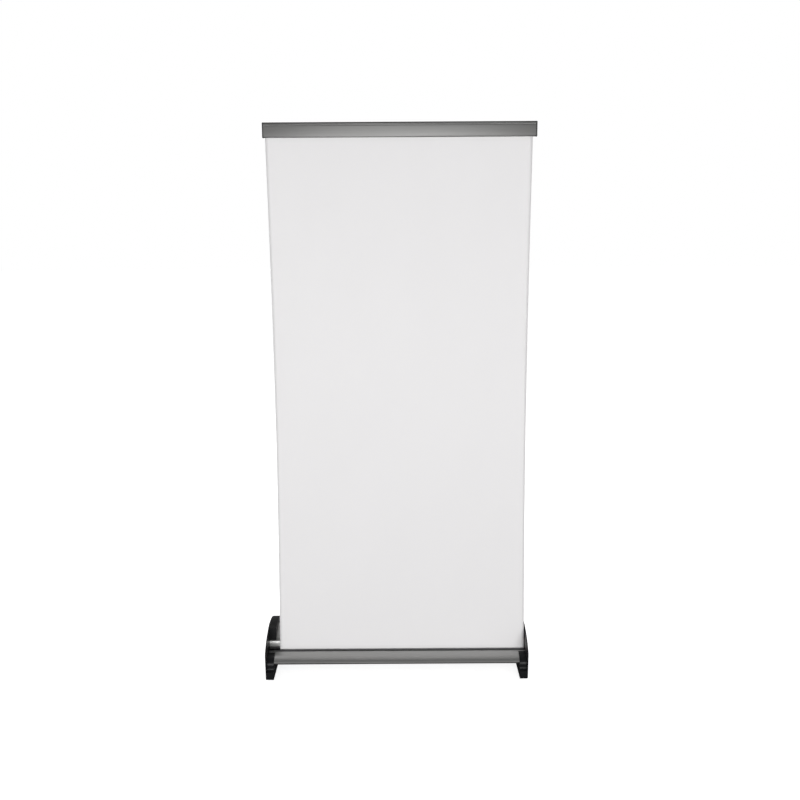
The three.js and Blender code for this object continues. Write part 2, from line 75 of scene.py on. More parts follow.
# ---- Places taken from the frame ----

def span(node, axis):
    low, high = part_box(node)
    return low[axis], high[axis]


def middle(node, axis):
    low, high = span(node, axis)
    return (low + high) / 2


FILM_Y = middle("banner_panel", 1)
FILM_X = middle("banner_panel", 0)
ROLLER_DROP = 28
SLOT_Z = middle("roller_tube", 2) + ROLLER_DROP * MM
POLE_Y = middle("pole_lower_tube", 1)
FLOOR_Z = span("left_front_foot_pad", 2)[0]


def place(y, z):
    """A section point, in millimetres from the slot line, as frame metres."""
    return FILM_Y + y * MM, SLOT_Z + z * MM


# ---- Settings ----

def length_property(name, description, default):
    return bpy.props.FloatProperty(
        name=name, description=description, default=default, subtype="DISTANCE", unit="LENGTH"
    )


def colour_property(name, description, default):
    return bpy.props.FloatVectorProperty(
        name=name, description=description, subtype="COLOR", size=3, default=default, min=0, max=1
    )


class BANNER_PG_sizes(bpy.types.PropertyGroup):
    film_bow: length_property(
        "Film bow", "How far the hanging film bows back between its edges", 0.0012
    )
    film_curl: length_property(
        "Edge curl", "How far the film's long edges curl towards the front", 0.0011
    )
    waist_left: length_property(
        "Left waist", "How far the film's left edge draws in at half height", 0.010
    )
    waist_right: length_property(
        "Right waist", "How far the film's right edge draws in at half height", 0.0083
    )
    film_thickness: length_property("Film thickness", "Thickness of the printed film", 0.0003)
    cap_rounding: length_property("Cap rounding", "Radius of the end caps' outer edge", 0.0045)
    round_sides: bpy.props.IntProperty(
        name="Round sides", description="Sides of a tube or collar", default=72
    )


class BANNER_PG_colours(bpy.types.PropertyGroup):
    shell: colour_property("Shells", "Anodised base shells", (0.37, 0.37, 0.363))
    rail: colour_property("Rail", "Anodised clamping rail", (0.17, 0.17, 0.167))
    tube: colour_property("Tubes", "Anodised pole tubes", (0.5, 0.5, 0.505))
    plastic: colour_property("End caps", "Moulded end caps", (0.0062, 0.0064, 0.0072))
    fitting: colour_property("Fittings", "Collars, bracket and socket", (0.014, 0.014, 0.015))
    film: colour_property("Film", "Blank banner film", (0.82, 0.81, 0.815))
    rubber: colour_property("Rubber", "Foot pads and grip strip", (0.016, 0.016, 0.016))
    steel: colour_property("Steel", "Screws, spindle and spring", (0.42, 0.42, 0.43))
    floor: colour_property("Floor", "Studio floor", (0.9, 0.9, 0.9))


def sizes():
    return bpy.context.scene.banner_sizes


def colours():
    return bpy.context.scene.banner_colours


# ---- Outlines ----

def smooth_line(points, steps):
    """A Catmull-Rom line through the points, with steps stretches between each two."""
    line = []
    last = len(points) - 1
    for i in range(last):
        p0, p1, p2, p3 = (points[max(min(i + k, last), 0)] for k in (-1, 0, 1, 2))
        for step in range(steps):
            t = step / steps
            line.append(tuple(
                0.5 * (2 * b + (c - a) * t + (2 * a - 5 * b + 4 * c - d) * t * t
                       + (3 * b - a - 3 * c + d) * t ** 3)
                for a, b, c, d in zip(p0, p1, p2, p3)
            ))
    return line + [tuple(points[-1])]


def offset_line(path, distance, closed=False):
    """Moves a line sideways, to its left for a positive distance."""
    moved = []
    count = len(path)
    for i, point in enumerate(path):
        before = path[i - 1] if closed or i else None
        after = path[(i + 1) % count] if closed or i < count - 1 else None
        normals = []
        for a, b in ((before, point), (point, after)):
            if a is None or b is None:
                continue
            length = math.hypot(b[0] - a[0], b[1] - a[1])
            normals.append(((a[1] - b[1]) / length, (b[0] - a[0]) / length))
        total = [sum(n[k] for n in normals) for k in (0, 1)]
        size = math.hypot(*total)
        unit = [part / size for part in total]
        reach = distance / (unit[0] * normals[0][0] + unit[1] * normals[0][1])
        moved.append((point[0] + unit[0] * reach, point[1] + unit[1] * reach))
    return moved


def wall_outline(path, wall):
    return list(path) + offset_line(path, wall)[::-1]


def rounded(outline, radius, steps=4, least_turn=20):
    """Replaces each sharp corner of a closed outline with an arc of the radius, where it fits."""
    result = []
    count = len(outline)
    for i, corner in enumerate(outline):
        here = Vector(corner)
        to_before = Vector(outline[i - 1]) - here
        to_after = Vector(outline[(i + 1) % count]) - here
        between = to_before.angle(to_after)
        if math.degrees(math.pi - between) < least_turn:
            result.append(tuple(corner))
            continue
        fits = 0.45 * min(to_before.length, to_after.length)
        cut = min(radius / math.tan(between / 2), fits)
        start = here + to_before.normalized() * cut
        end = here + to_after.normalized() * cut
        for step in range(steps + 1):
            t = step / steps
            point = start * (1 - t) ** 2 + here * (2 * t * (1 - t)) + end * t * t
            result.append(tuple(point))
    return result


def arc(centre, radius, start, end, steps):
    angles = (math.radians(start + (end - start) * i / steps) for i in range(steps + 1))
    return [(centre[0] + radius * math.cos(a), centre[1] + radius * math.sin(a)) for a in angles]


# ---- Meshes ----

def finish_mesh(name, mesh_data, material, sharp=SHARP):
    """Turns a bmesh into an object with outward faces, smooth but for its real edges."""
    bmesh.ops.remove_doubles(mesh_data, verts=mesh_data.verts, dist=WELD)
    bmesh.ops.recalc_face_normals(mesh_data, faces=mesh_data.faces)
    mesh = bpy.data.meshes.new(name)
    mesh_data.to_mesh(mesh)
    mesh_data.free()
    mesh.shade_smooth()
    mesh.set_sharp_from_angle(angle=math.radians(sharp))
    mesh.materials.append(material)
    piece = bpy.data.objects.new(name, mesh)
    bpy.context.scene.collection.objects.link(piece)
    return piece


def skin(mesh_data, rings):
    """Joins rings of equal length with quads, and closes the first and last with a face."""
    rows = [[mesh_data.verts.new(point) for point in ring] for ring in rings]
    for lower, upper in zip(rows, rows[1:]):
        for i in range(len(lower)):
            j = (i + 1) % len(lower)
            mesh_data.faces.new((lower[i], lower[j], upper[j], upper[i]))
    mesh_data.faces.new(rows[0][::-1])
    mesh_data.faces.new(rows[-1])


def add_prism(mesh_data, outline, x0, x1, edge=(0.3, 0.3), steps=2):
    """Adds a section run along X. edge is the rounding, in millimetres, at x0 and at x1."""
    rings = []
    for x, sign, round_by in ((x0, 1, edge[0]), (x1, -1, edge[1])):
        turns = range(steps + 1) if round_by else [steps]
        end = []
        for k in turns:
            angle = math.pi / 2 * k / steps
            inset = round_by * (1 - math.sin(angle))
            depth = round_by * (1 - math.cos(angle))
            line = offset_line(outline, inset, closed=True) if inset > TINY else outline
            end.append([(x + sign * depth * MM, *place(*point)) for point in line])
        rings += end if sign > 0 else end[::-1]
    skin(mesh_data, rings)


def counterclockwise(outline):
    area = sum(
        a[0] * b[1] - b[0] * a[1] for a, b in zip(outline, list(outline[1:]) + [outline[0]])
    )
    return list(outline) if area > 0 else list(outline)[::-1]


def prism(name, outline, x0, x1, material, edge=(0.3, 0.3)):
    mesh_data = bmesh.new()
    add_prism(mesh_data, counterclockwise(outline), x0, x1, edge)
    return finish_mesh(name, mesh_data, material)


def add_lathe(mesh_data, profile, matrix, sides=None, lobes=0):
    """Adds a closed [radius, height] or [radius, height, lobe depth] profile turned about Z."""
    sides = sides or sizes().round_sides
    columns = []
    for i in range(sides):
        angle = 2 * math.pi * i / sides
        column = []
        for radius, height, *lobe in profile:
            r = (radius + (lobe[0] * math.cos(lobes * angle) if lobe else 0)) * MM
            column.append(matrix @ Vector((r * math.cos(angle), r * math.sin(angle), height * MM)))
        columns.append([mesh_data.verts.new(point) for point in column])
    for i in range(sides):
        here, there = columns[i], columns[(i + 1) % sides]
        for j in range(len(profile)):
            k = (j + 1) % len(profile)
            corners = (here[j], there[j], there[k], here[k])
            if max(profile[j][0], profile[k][0]) >= TINY:
                mesh_data.faces.new(corners)


def turned(name, profile, matrix, material, sides=None, lobes=0):
    mesh_data = bmesh.new()
    add_lathe(mesh_data, profile, matrix, sides, lobes)
    bmesh.ops.remove_doubles(mesh_data, verts=mesh_data.verts, dist=WELD)
    loose = [face for face in mesh_data.faces if face.calc_area() < WELD * WELD]
    bmesh.ops.delete(mesh_data, geom=loose, context="FACES")
    return finish_mesh(name, mesh_data, material)


def boolean(piece, tool, operation):
    """Joins or cuts with another object, which is used up."""
    modifier = piece.modifiers.new("shape", "BOOLEAN")
    modifier.operation = operation
    modifier.object = tool
    modifier.solver = "EXACT"
    evaluated = piece.evaluated_get(bpy.context.evaluated_depsgraph_get())
    mesh = bpy.data.meshes.new_from_object(evaluated)
    piece.modifiers.clear()
    old, piece.data = piece.data, mesh
    bpy.data.meshes.remove(old)
    bpy.data.objects.remove(tool)
    mesh.shade_smooth()
    mesh.set_sharp_from_angle(angle=math.radians(SHARP))
    return piece


def drill(piece, radius, low, high, matrix, sides=None):
    """Cuts a round hole between two heights, in millimetres along the matrix's Z."""
    profile = [(0, low), (radius, low), (radius, high), (0, high)]
    tool = turned("drill_tool", profile, matrix, piece.data.materials[0], sides)
    boolean(piece, tool, "DIFFERENCE")


def box_mesh(low, high):
    """A box between two corners."""
    mesh_data = bmesh.new()
    bmesh.ops.create_cube(mesh_data, size=1)
    low, high = Vector(low), Vector(high)
    scale = Matrix.Diagonal((*(high - low), 1))
    mesh_data.transform(Matrix.Translation((low + high) / 2) @ scale)
    return mesh_data


def stand_for(piece, node, body):
    """Hides the CAD node and lets the piece ride in its place."""
    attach(piece, body)
    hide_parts(node)
    return piece


# ---- Finishes ----

class Finish:
    """A node material with a few short ways to add its parts."""

    def __init__(self, name, colour, roughness, metallic=0.0, **sockets):
        self.material = bpy.data.materials.new(name)
        self.material.use_nodes = True
        self.tree = self.material.node_tree
        self.shader = self.tree.nodes["Principled BSDF"]
        self.colour = tuple(colour)
        self.set("Base Color", (*self.colour, 1))
        self.set("Roughness", roughness)
        self.set("Metallic", metallic)
        for socket, value in sockets.items():
            self.set(socket.replace("_", " "), value)
        self.place = self.tree.nodes.new("ShaderNodeTexCoord").outputs["Object"]

    def set(self, socket, value):
        self.shader.inputs[socket].default_value = value

    def stretched(self, scale):
        mapping = self.tree.nodes.new("ShaderNodeMapping")
        mapping.inputs["Scale"].default_value = scale
        self.tree.links.new(self.place, mapping.inputs["Vector"])
        return mapping.outputs["Vector"]

    def noise(self, scale, detail=3.0, stretch=(1, 1, 1), roughness=0.55):
        node = self.tree.nodes.new("ShaderNodeTexNoise")
        node.inputs["Scale"].default_value = scale
        node.inputs["Detail"].default_value = detail
        node.inputs["Roughness"].default_value = roughness
        self.tree.links.new(self.stretched(stretch), node.inputs["Vector"])
        return node.outputs["Fac"]

    def cells(self, scale):
        node = self.tree.nodes.new("ShaderNodeTexVoronoi")
        node.inputs["Scale"].default_value = scale
        self.tree.links.new(self.place, node.inputs["Vector"])
        return node.outputs["Distance"]

    def ranged(self, value, low, high):
        """Spreads a pattern, which mostly lies between 0.3 and 0.7, from low to high."""
        node = self.tree.nodes.new("ShaderNodeMapRange")
        limits = {"From Min": 0.3, "From Max": 0.7, "To Min": low, "To Max": high}
        for name, number in limits.items():
            node.inputs[name].default_value = number
        self.tree.links.new(value, node.inputs["Value"])
        return node.outputs["Result"]

    def tint(self, value, dark, light):
        """Colours the base between two multiples of its own colour."""
        node = self.tree.nodes.new("ShaderNodeMix")
        node.data_type = "RGBA"
        self.tree.links.new(self.ranged(value, 0, 1), node.inputs["Factor"])
        for socket, share in (("A", dark), ("B", light)):
            mixed = tuple(min(part * share, 1) for part in self.colour)
            side = next(s for s in node.inputs if s.name == socket and s.type == "RGBA")
            side.default_value = (*mixed, 1)
        result = next(s for s in node.outputs if s.type == "RGBA")
        self.tree.links.new(result, self.shader.inputs["Base Color"])
        return self

    def rough(self, value, low, high):
        self.tree.links.new(self.ranged(value, low, high), self.shader.inputs["Roughness"])
        return self

    def bumps(self, *layers):
        """Adds bump layers, each a height output, a strength and a depth in metres."""
        normal = None
        for height, strength, depth in layers:
            node = self.tree.nodes.new("ShaderNodeBump")
            node.inputs["Strength"].default_value = strength
            node.inputs["Distance"].default_value = depth
            self.tree.links.new(height, node.inputs["Height"])
            if normal:
                self.tree.links.new(normal, node.inputs["Normal"])
            normal = node.outputs["Normal"]
        self.tree.links.new(normal, self.shader.inputs["Normal"])
        return self


def once(make):
    """Makes a finish the first time it is asked for, and returns the same one after that."""
    made = {}

    def get():
        if make.__name__ not in made:
            made[make.__name__] = make().material
        return made[make.__name__]

    return get


def extruded(name, colour, along, rough):
    """Anodised metal with the fine lines that the die draws along one axis."""
    stretch = [1.0, 1.0, 1.0]
    stretch[along] = 0.004
    finish = Finish(name, colour, rough[0], 1.0)
    lines = finish.noise(900, 4, stretch)
    broad = finish.noise(60, 2, stretch)
    cloud = finish.noise(7, 3)
    finish.tint(broad, 0.93, 1.07).rough(lines, *rough)
    return finish.bumps((lines, 0.18, 0.00005), (cloud, 0.05, 0.0004))


@once
def shell_metal():
    return extruded("anodised_shell", colours().shell, 0, (0.34, 0.46))


@once
def rail_metal():
    return extruded("anodised_rail", colours().rail, 0, (0.4, 0.5))


@once
def tube_metal():
    return extruded("anodised_tube", colours().tube, 2, (0.22, 0.34))


@once
def roller_metal():
    return extruded("mill_tube", colours().tube, 0, (0.3, 0.5))


@once
def cap_plastic():
    finish = Finish("moulded_cap", colours().plastic, 0.36, Specular_IOR_Level=0.2)
    grain = finish.cells(1700)
    flow = finish.noise(9, 4)
    scuffs = finish.noise(55, 5, (1, 3, 0.6), 0.7)
    finish.tint(flow, 0.8, 1.25).rough(scuffs, 0.32, 0.44)
    return finish.bumps((grain, 0.12, 0.00008), (flow, 0.06, 0.0006))


@once
def fitting_plastic():
    finish = Finish("moulded_fitting", colours().fitting, 0.45, IOR=1.5)
    grain = finish.cells(1300)
    flow = finish.noise(30, 3)
    finish.tint(flow, 0.8, 1.3).rough(finish.noise(120, 4), 0.38, 0.55)
    return finish.bumps((grain, 0.25, 0.0001), (flow, 0.05, 0.0003))


@once
def guide_felt():
    finish = Finish("guide_strip", colours().fitting, 0.85, Sheen_Weight=0.3)
    pile = finish.noise(2400, 5, (1, 1, 0.5))
    finish.tint(pile, 0.7, 1.5)
    return finish.bumps((pile, 0.7, 0.0003))


@once
def pad_rubber():
    finish = Finish("pad_rubber", colours().rubber, 0.8)
    grain = finish.noise(900, 4)
    finish.tint(finish.noise(40, 3), 0.8, 1.4).rough(grain, 0.7, 0.92)
    return finish.bumps((grain, 0.4, 0.0002))


@once
def plated_steel():
    finish = Finish("plated_steel", colours().steel, 0.28, 1.0)
    wear = finish.noise(420, 5)
    finish.tint(finish.noise(90, 3), 0.85, 1.12).rough(wear, 0.2, 0.4)
    return finish.bumps((wear, 0.15, 0.00005))


@once
def spring_steel():
    finish = Finish("spring_wire", colours().steel, 0.35, 1.0)
    drawn = finish.noise(700, 4, (0.2, 1, 1))
    finish.tint(drawn, 0.45, 0.75).rough(drawn, 0.3, 0.5)
    return finish.bumps((drawn, 0.2, 0.00005))


@once
def banner_film():
    gloss = {"Specular_IOR_Level": 0.32, "Sheen_Weight": 0.04}
    finish = Finish("banner_film", colours().film, 0.5, **gloss)
    coat = finish.noise(1500, 3)
    cloud = finish.noise(5, 2, (1, 1, 0.5))
    roll_set = finish.noise(14, 1, (0.02, 1, 1))
    finish.tint(cloud, 0.993, 1.004).rough(coat, 0.44, 0.58)
    return finish.bumps((coat, 0.08, 0.00006), (roll_set, 0.05, 0.0006))


# ---- Sections of the base, as in its engineering drawing ----

GAP = 0.3
WALL = 2
FRONT_REACH = 108
REAR_REACH = 196
DOME_RISE = 100
LIP = 6
SLOT_FRONT = 20
SLOT_REAR = 8
BELLY = 57
NOSE = FRONT_REACH - 20
NOSE_DROP = 16.5
NOSE_UNDER = 3.5
COLLAR_PROUD = 3.5
LIP_SHOWN = 18
LIP_BARE = 4
REAR_FOOT = REAR_REACH - 46
SOCKET_RADIUS = 18.3
SOCKET_BORE = 14.3
DECK_SCREW_OUT = SOCKET_RADIUS + 7
CAP_PLATE = 5
RIDGE = (105, 75)
DECK_RISE = 41
SPLIT = (-SLOT_FRONT - 10, -BELLY + 8.5)
DECK_SLOPE = math.atan2(RIDGE[1] - DECK_RISE, RIDGE[0] - SLOT_REAR)

FASCIA = smooth_line(
    [
        (-SLOT_FRONT - 21, LIP - 0.5),
        (-NOSE + 26, LIP - 4.5),
        (-NOSE + 8, -7.5),
        (-NOSE, -NOSE_DROP),
    ],
    10,
)
FRONT_WALL = [
    (-SLOT_FRONT, -10),
    (-SLOT_FRONT, LIP),
    *FASCIA,
    (-NOSE + 4, -NOSE_DROP - NOSE_UNDER),
    SPLIT,
]
FRONT_RUN = math.atan2(SPLIT[1] + NOSE_DROP + NOSE_UNDER, SPLIT[0] + NOSE - 4)
TRAY_RUN = math.atan2(-BELLY - SPLIT[1], -SPLIT[0])
SPLIT_GAP = GAP + WALL * math.tan(abs(TRAY_RUN - FRONT_RUN))
TRAY_WALL = [
    (SPLIT[0] + SPLIT_GAP, SPLIT[1] + SPLIT_GAP * math.tan(TRAY_RUN)),
    (0, -BELLY),
    (REAR_FOOT - GAP, -BELLY),
]
REAR_WALL = [
    (REAR_FOOT, -BELLY),
    (REAR_REACH - 24, -BELLY),
    *smooth_line(
        [
            (REAR_REACH - 16, -BELLY + 9),
            (REAR_REACH - 14, -10),
            (REAR_REACH - 17, 30),
            (REAR_REACH - 30, 55),
            (REAR_REACH - 57, 71),
            RIDGE,
        ],
        8,
    ),
    *smooth_line(
        [
            (SLOT_REAR + 14, DECK_RISE + 14 * math.tan(DECK_SLOPE)),
            (SLOT_REAR + 5, DECK_RISE - 1),
            (SLOT_REAR + 1, DECK_RISE - 8),
            (SLOT_REAR, DECK_RISE - 17),
        ],
        6,
    ),
    (SLOT_REAR, 0),
]
CAP_FOOT = (FLOOR_Z - SLOT_Z) / MM + 1.5
CAP_OUTLINE = [
    (-FRONT_REACH * 0.94, CAP_FOOT),
    *smooth_line(
        [
            (-FRONT_REACH, 5),
            (-FRONT_REACH * 0.965, DOME_RISE * 0.33),
            (-FRONT_REACH * 0.5, DOME_RISE * 0.71),
            (REAR_REACH * 0.06, DOME_RISE * 0.93),
            (REAR_REACH * 0.31, DOME_RISE),
            (REAR_REACH * 0.66, DOME_RISE * 0.93),
            (REAR_REACH * 0.93, DOME_RISE * 0.725),
            (REAR_REACH, DOME_RISE * 0.38),
        ],
        12,
    ),
    (REAR_REACH * 0.97, CAP_FOOT),
]
PORTS = {
    port: (
        (middle("left_cap_screw_" + port, 1) - FILM_Y) / MM,
        (middle("left_cap_screw_" + port, 2) - SLOT_Z) / MM,
    )
    for port in ("front", "top", "rear", "belly")
}
SIDES = {"left": -1, "right": 1}
LEAST_TURN = 20
PORT_RADIUS = 4.5
SCREW_HOLE = 2.3
HEAD_POCKET = 5.1
CAP_SCREW_HEAD = (4.8, 2.4)
SMALL_HEAD = (3.84, 2)


def along_x(y, z, x=0.0):
    """A matrix that lays a piece made about Z along X, on the section point."""
    turn = Matrix(((0, 0, 1), (0, 1, 0), (-1, 0, 0))).to_4x4()
    return Matrix.Translation((x, *place(y, z))) @ turn


def add_port(mesh_data, port, x0, x1):
    """A tube inside a shell that the end screws cut their thread in."""
    y, z = PORTS[port]
    low, high = x0 / MM, x1 / MM
    profile = [(PORT_RADIUS, low), (PORT_RADIUS, high), (SCREW_HOLE, high), (SCREW_HOLE, low)]
    add_lathe(mesh_data, profile, along_x(y, z), 24)


def base_wall(node, path, ports, material):
    """One extruded wall of the base, with its corners eased and its screw ports."""
    x0, x1 = span(node, 0)
    outline = counterclockwise(rounded(wall_outline(path, WALL), 1.2, 3, LEAST_TURN))
    mesh_data = bmesh.new()
    add_prism(mesh_data, outline, x0, x1, (0.2, 0.2), 1)
    for port in ports:
        add_port(mesh_data, port, x0, x1)
    return stand_for(finish_mesh(node + "_panel", mesh_data, material), node, "base")


# ---- Stage ----

CAMERA_LENS = 45
CAMERA_SENSOR = 36
CAMERA_PITCH = 10.6
CAMERA_ROLL = -0.34
CAMERA_SPOT = (FILM_X - 0.0018, FILM_Y - 3.848, SLOT_Z + 1.763)
FLOOR_HALF = 30
FLOOR_GLOW = 0.82
FLOOR_BOUNCE = 0.35
WORLD_LIGHT = 0.22
# Each light's name, place, target, width and height in metres, and power in watts.
SOFTBOXES = (
    ("front_softbox", (0, -7.4, 0.65), (0, 0, 0.65), (7.5, 2.0), 560),
    ("upper_softbox", (0, -7.4, 3.2), (0, 0, 2.2), (10, 2.0), 12),
    ("top_softbox", (0, 2.2, 4.6), (0, 0.3, 0), (6, 2.5), 40),
    ("rear_left_softbox", (-5.2, 3.6, 1.6), (0, 0, 0.9), (2.4, 2.4), 150),
    ("rear_right_softbox", (5.2, 3.6, 1.6), (0, 0, 0.9), (2.4, 2.4), 110),
)


def camera_only(tree, seen, lit, output):
    """Shows the camera one shader and lights the object with another."""
    path = tree.nodes.new("ShaderNodeLightPath")
    choose = tree.nodes.new("ShaderNodeMixShader")
    tree.links.new(path.outputs["Is Camera Ray"], choose.inputs["Fac"])
    tree.links.new(lit, choose.inputs[1])
    tree.links.new(seen, choose.inputs[2])
    tree.links.new(choose.outputs["Shader"], tree.nodes[output].inputs["Surface"])


class BANNER_OT_stage(bpy.types.Operator):
    """Makes the camera, the floor and the studio lights"""

    bl_idname = "banner.stage"
    bl_label = "Stage"

    def execute(self, context):
        scene = context.scene
        scene.view_settings.view_transform = "Standard"
        self.camera(scene)
        self.floor()
        self.world(scene)
        for row in SOFTBOXES:
            self.softbox(*row)
        return {"FINISHED"}

    @staticmethod
    def camera(scene):
        data = bpy.data.cameras.new("camera")
        data.lens, data.sensor_width = CAMERA_LENS, CAMERA_SENSOR
        data.clip_end = 100
        camera = bpy.data.objects.new("camera", data)
        scene.collection.objects.link(camera)
        tilt = Matrix.Rotation(math.pi / 2 - math.radians(CAMERA_PITCH), 4, "X")
        turn = tilt @ Matrix.Rotation(math.radians(CAMERA_ROLL), 4, "Z")
        camera.matrix_world = Matrix.Translation(CAMERA_SPOT) @ turn
        scene.camera = camera

    @staticmethod
    def floor():
        """A floor that the camera sees as white and the object sees as grey."""
        mesh_data = bmesh.new()
        bmesh.ops.create_grid(mesh_data, x_segments=1, y_segments=1, size=FLOOR_HALF)
        bmesh.ops.translate(mesh_data, verts=mesh_data.verts, vec=(0, 0, FLOOR_Z))
        finish = Finish("studio_floor", colours().floor, 0.9)
        tree = finish.tree
        glow = tree.nodes.new("ShaderNodeEmission")
        glow.inputs["Strength"].default_value = FLOOR_GLOW
        both = tree.nodes.new("ShaderNodeAddShader")
        tree.links.new(glow.outputs["Emission"], both.inputs[0])
        tree.links.new(finish.shader.outputs["BSDF"], both.inputs[1])
        dim = tree.nodes.new("ShaderNodeBsdfDiffuse")
        dim.inputs["Color"].default_value = (*[FLOOR_BOUNCE] * 3, 1)
        camera_only(tree, both.outputs["Shader"], dim.outputs["BSDF"], "Material Output")
        finish_mesh("studio_floor", mesh_data, finish.material)

    @staticmethod
    def world(scene):
        world = bpy.data.worlds.new("studio")
        world.use_nodes = True
        tree = world.node_tree
        dim = tree.nodes["Background"]
        dim.inputs["Color"].default_value = (*[WORLD_LIGHT] * 3, 1)
        white = tree.nodes.new("ShaderNodeBackground")
        white.inputs["Color"].default_value = (1, 1, 1, 1)
        camera_only(tree, white.outputs["Background"], dim.outputs["Background"], "World Output")
        scene.world = world

    @staticmethod
    def softbox(name, spot, target, size, power):
        data = bpy.data.lights.new(name, "AREA")
        data.shape = "RECTANGLE"
        data.size, data.size_y = size
        data.energy = power
        light = bpy.data.objects.new(name, data)
        light.location = spot
        aim = Vector(target) - Vector(spot)
        light.rotation_euler = aim.to_track_quat("-Z", "Y").to_euler()
        bpy.context.scene.collection.objects.link(light)


# ---- Base ----

class BANNER_OT_shells(bpy.types.Operator):
    """Makes the front and rear shells, the tray and the strips that line the slot"""

    bl_idname = "banner.shells"
    bl_label = "Base shells"

    def execute(self, context):
        base_wall("front_shell", FRONT_WALL, ["front"], shell_metal())
        base_wall("base_tray", TRAY_WALL, ["belly"], shell_metal())
        rear = base_wall("rear_shell", REAR_WALL, ["top", "rear"], shell_metal())
        spot = Matrix.Translation((middle("pole_lower_tube", 0), POLE_Y, SLOT_Z))
        drill(rear, SOCKET_RADIUS + GAP, 25, 90, spot)
        self.guides()
        return {"FINISHED"}

    @staticmethod
    def guides():
        width, thickness, flap = 4, 1.5, 1.5
        top = LIP + GAP
        front = [
            (-SLOT_FRONT - flap, top), (-SLOT_FRONT + GAP, top), (-SLOT_FRONT + GAP, -6),
            (-SLOT_FRONT + width, -6), (-SLOT_FRONT + width, top + thickness),
            (-SLOT_FRONT - flap, top + thickness),
        ]
        rear = [
            (SLOT_REAR - GAP, 2), (SLOT_REAR - GAP, 13.5),
            (SLOT_REAR - width, 13.5), (SLOT_REAR - width, 2),
        ]
        for node, outline in (("slot_guide_front", front), ("slot_guide_rear", rear)):
            shape = rounded(outline, 0.7, 3)
            stand_for(prism(node + "_strip", shape, *span(node, 0), guide_felt()), node, "base")


class BANNER_OT_end_caps(bpy.types.Operator):
    """Makes the two moulded end caps"""

    bl_idname = "banner.end_caps"
    bl_label = "End caps"

    def execute(self, context):
        for name, side in SIDES.items():
            self.cap(name + "_end_cap", side)
        return {"FINISHED"}

    def cap(self, node, side):
        low, high = span(node, 0)
        inner, outer = (low, high) if side > 0 else (high, low)
        rounding = sizes().cap_rounding / MM
        wall = outer - side * CAP_PLATE * MM

        def solid(name, outline, x_inner, x_outer, edge=(0, 0)):
            ends = (x_inner, x_outer)
            return prism(name, outline, *ends[::side], cap_plastic(), edge[::side])

        outline = rounded(CAP_OUTLINE, 3, 5)
        cap = solid(node + "_moulding", outline, wall, outer, (1.0, rounding))
        collar_end = outer - side * (rounding + 0.02) * MM
        collar = solid("collar_part", outline, inner, collar_end, (1.6, 0))
        for cut in (self.shell_room(), self.opening(), *self.notches()):
            boolean(collar, solid("cut_tool", cut, inner - side * MM, wall), "DIFFERENCE")
        boolean(cap, collar, "UNION")
        self.screw_pockets(cap, side, wall, outer)
        for spot in ("front", "rear"):
            pad = node.replace("end_cap", spot + "_foot_pad")
            low, high = (Vector(end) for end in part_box(pad))
            room = Vector((1, 1, 1)) * GAP * MM
            tool = finish_mesh("pad_tool", box_mesh(low - room, high + room), cap_plastic())
            boolean(cap, tool, "DIFFERENCE")
        stand_for(cap, node, "base")

    @staticmethod
    def shell_room():
        return offset_line([*FRONT_WALL[1:], *TRAY_WALL, *REAR_WALL], -GAP)

    @staticmethod
    def opening():
        """What the collar leaves bare in front: the lip and the top of the front shell."""
        scoop = smooth_line(
            [
                (-NOSE - COLLAR_PROUD - 1, -NOSE_DROP - 8),
                (-NOSE - COLLAR_PROUD - 1.5, -NOSE_DROP - 26),
                (-FRONT_REACH - 4, -NOSE_DROP - 34),
            ],
            6,
        )
        return [
            (SLOT_REAR + LIP_BARE, DOME_RISE + 20),
            (SLOT_REAR + LIP_BARE, LIP),
            *offset_line(FASCIA, -COLLAR_PROUD),
            *scoop,
            (-FRONT_REACH - 10, DOME_RISE + 20),
        ]

    @staticmethod
    def notches():
        """The slot that the film comes out of, and the bare front lip before it."""
        top = DOME_RISE + 20
        for y, z in ((-SLOT_FRONT, -SLOT_FRONT), (-SLOT_FRONT - LIP_SHOWN, LIP - 1)):
            yield [(y, z), (SLOT_REAR, z), (SLOT_REAR, top), (y, top)]

    @staticmethod
    def screw_pockets(cap, side, wall, outer):
        for y, z in PORTS.values():
            for radius, start in (
                (SCREW_HOLE, wall / MM - side), (HEAD_POCKET, outer / MM - side * 3),
            ):
                low, high = sorted((start, outer / MM + side))
                drill(cap, radius, low, high, along_x(y, z), 40)


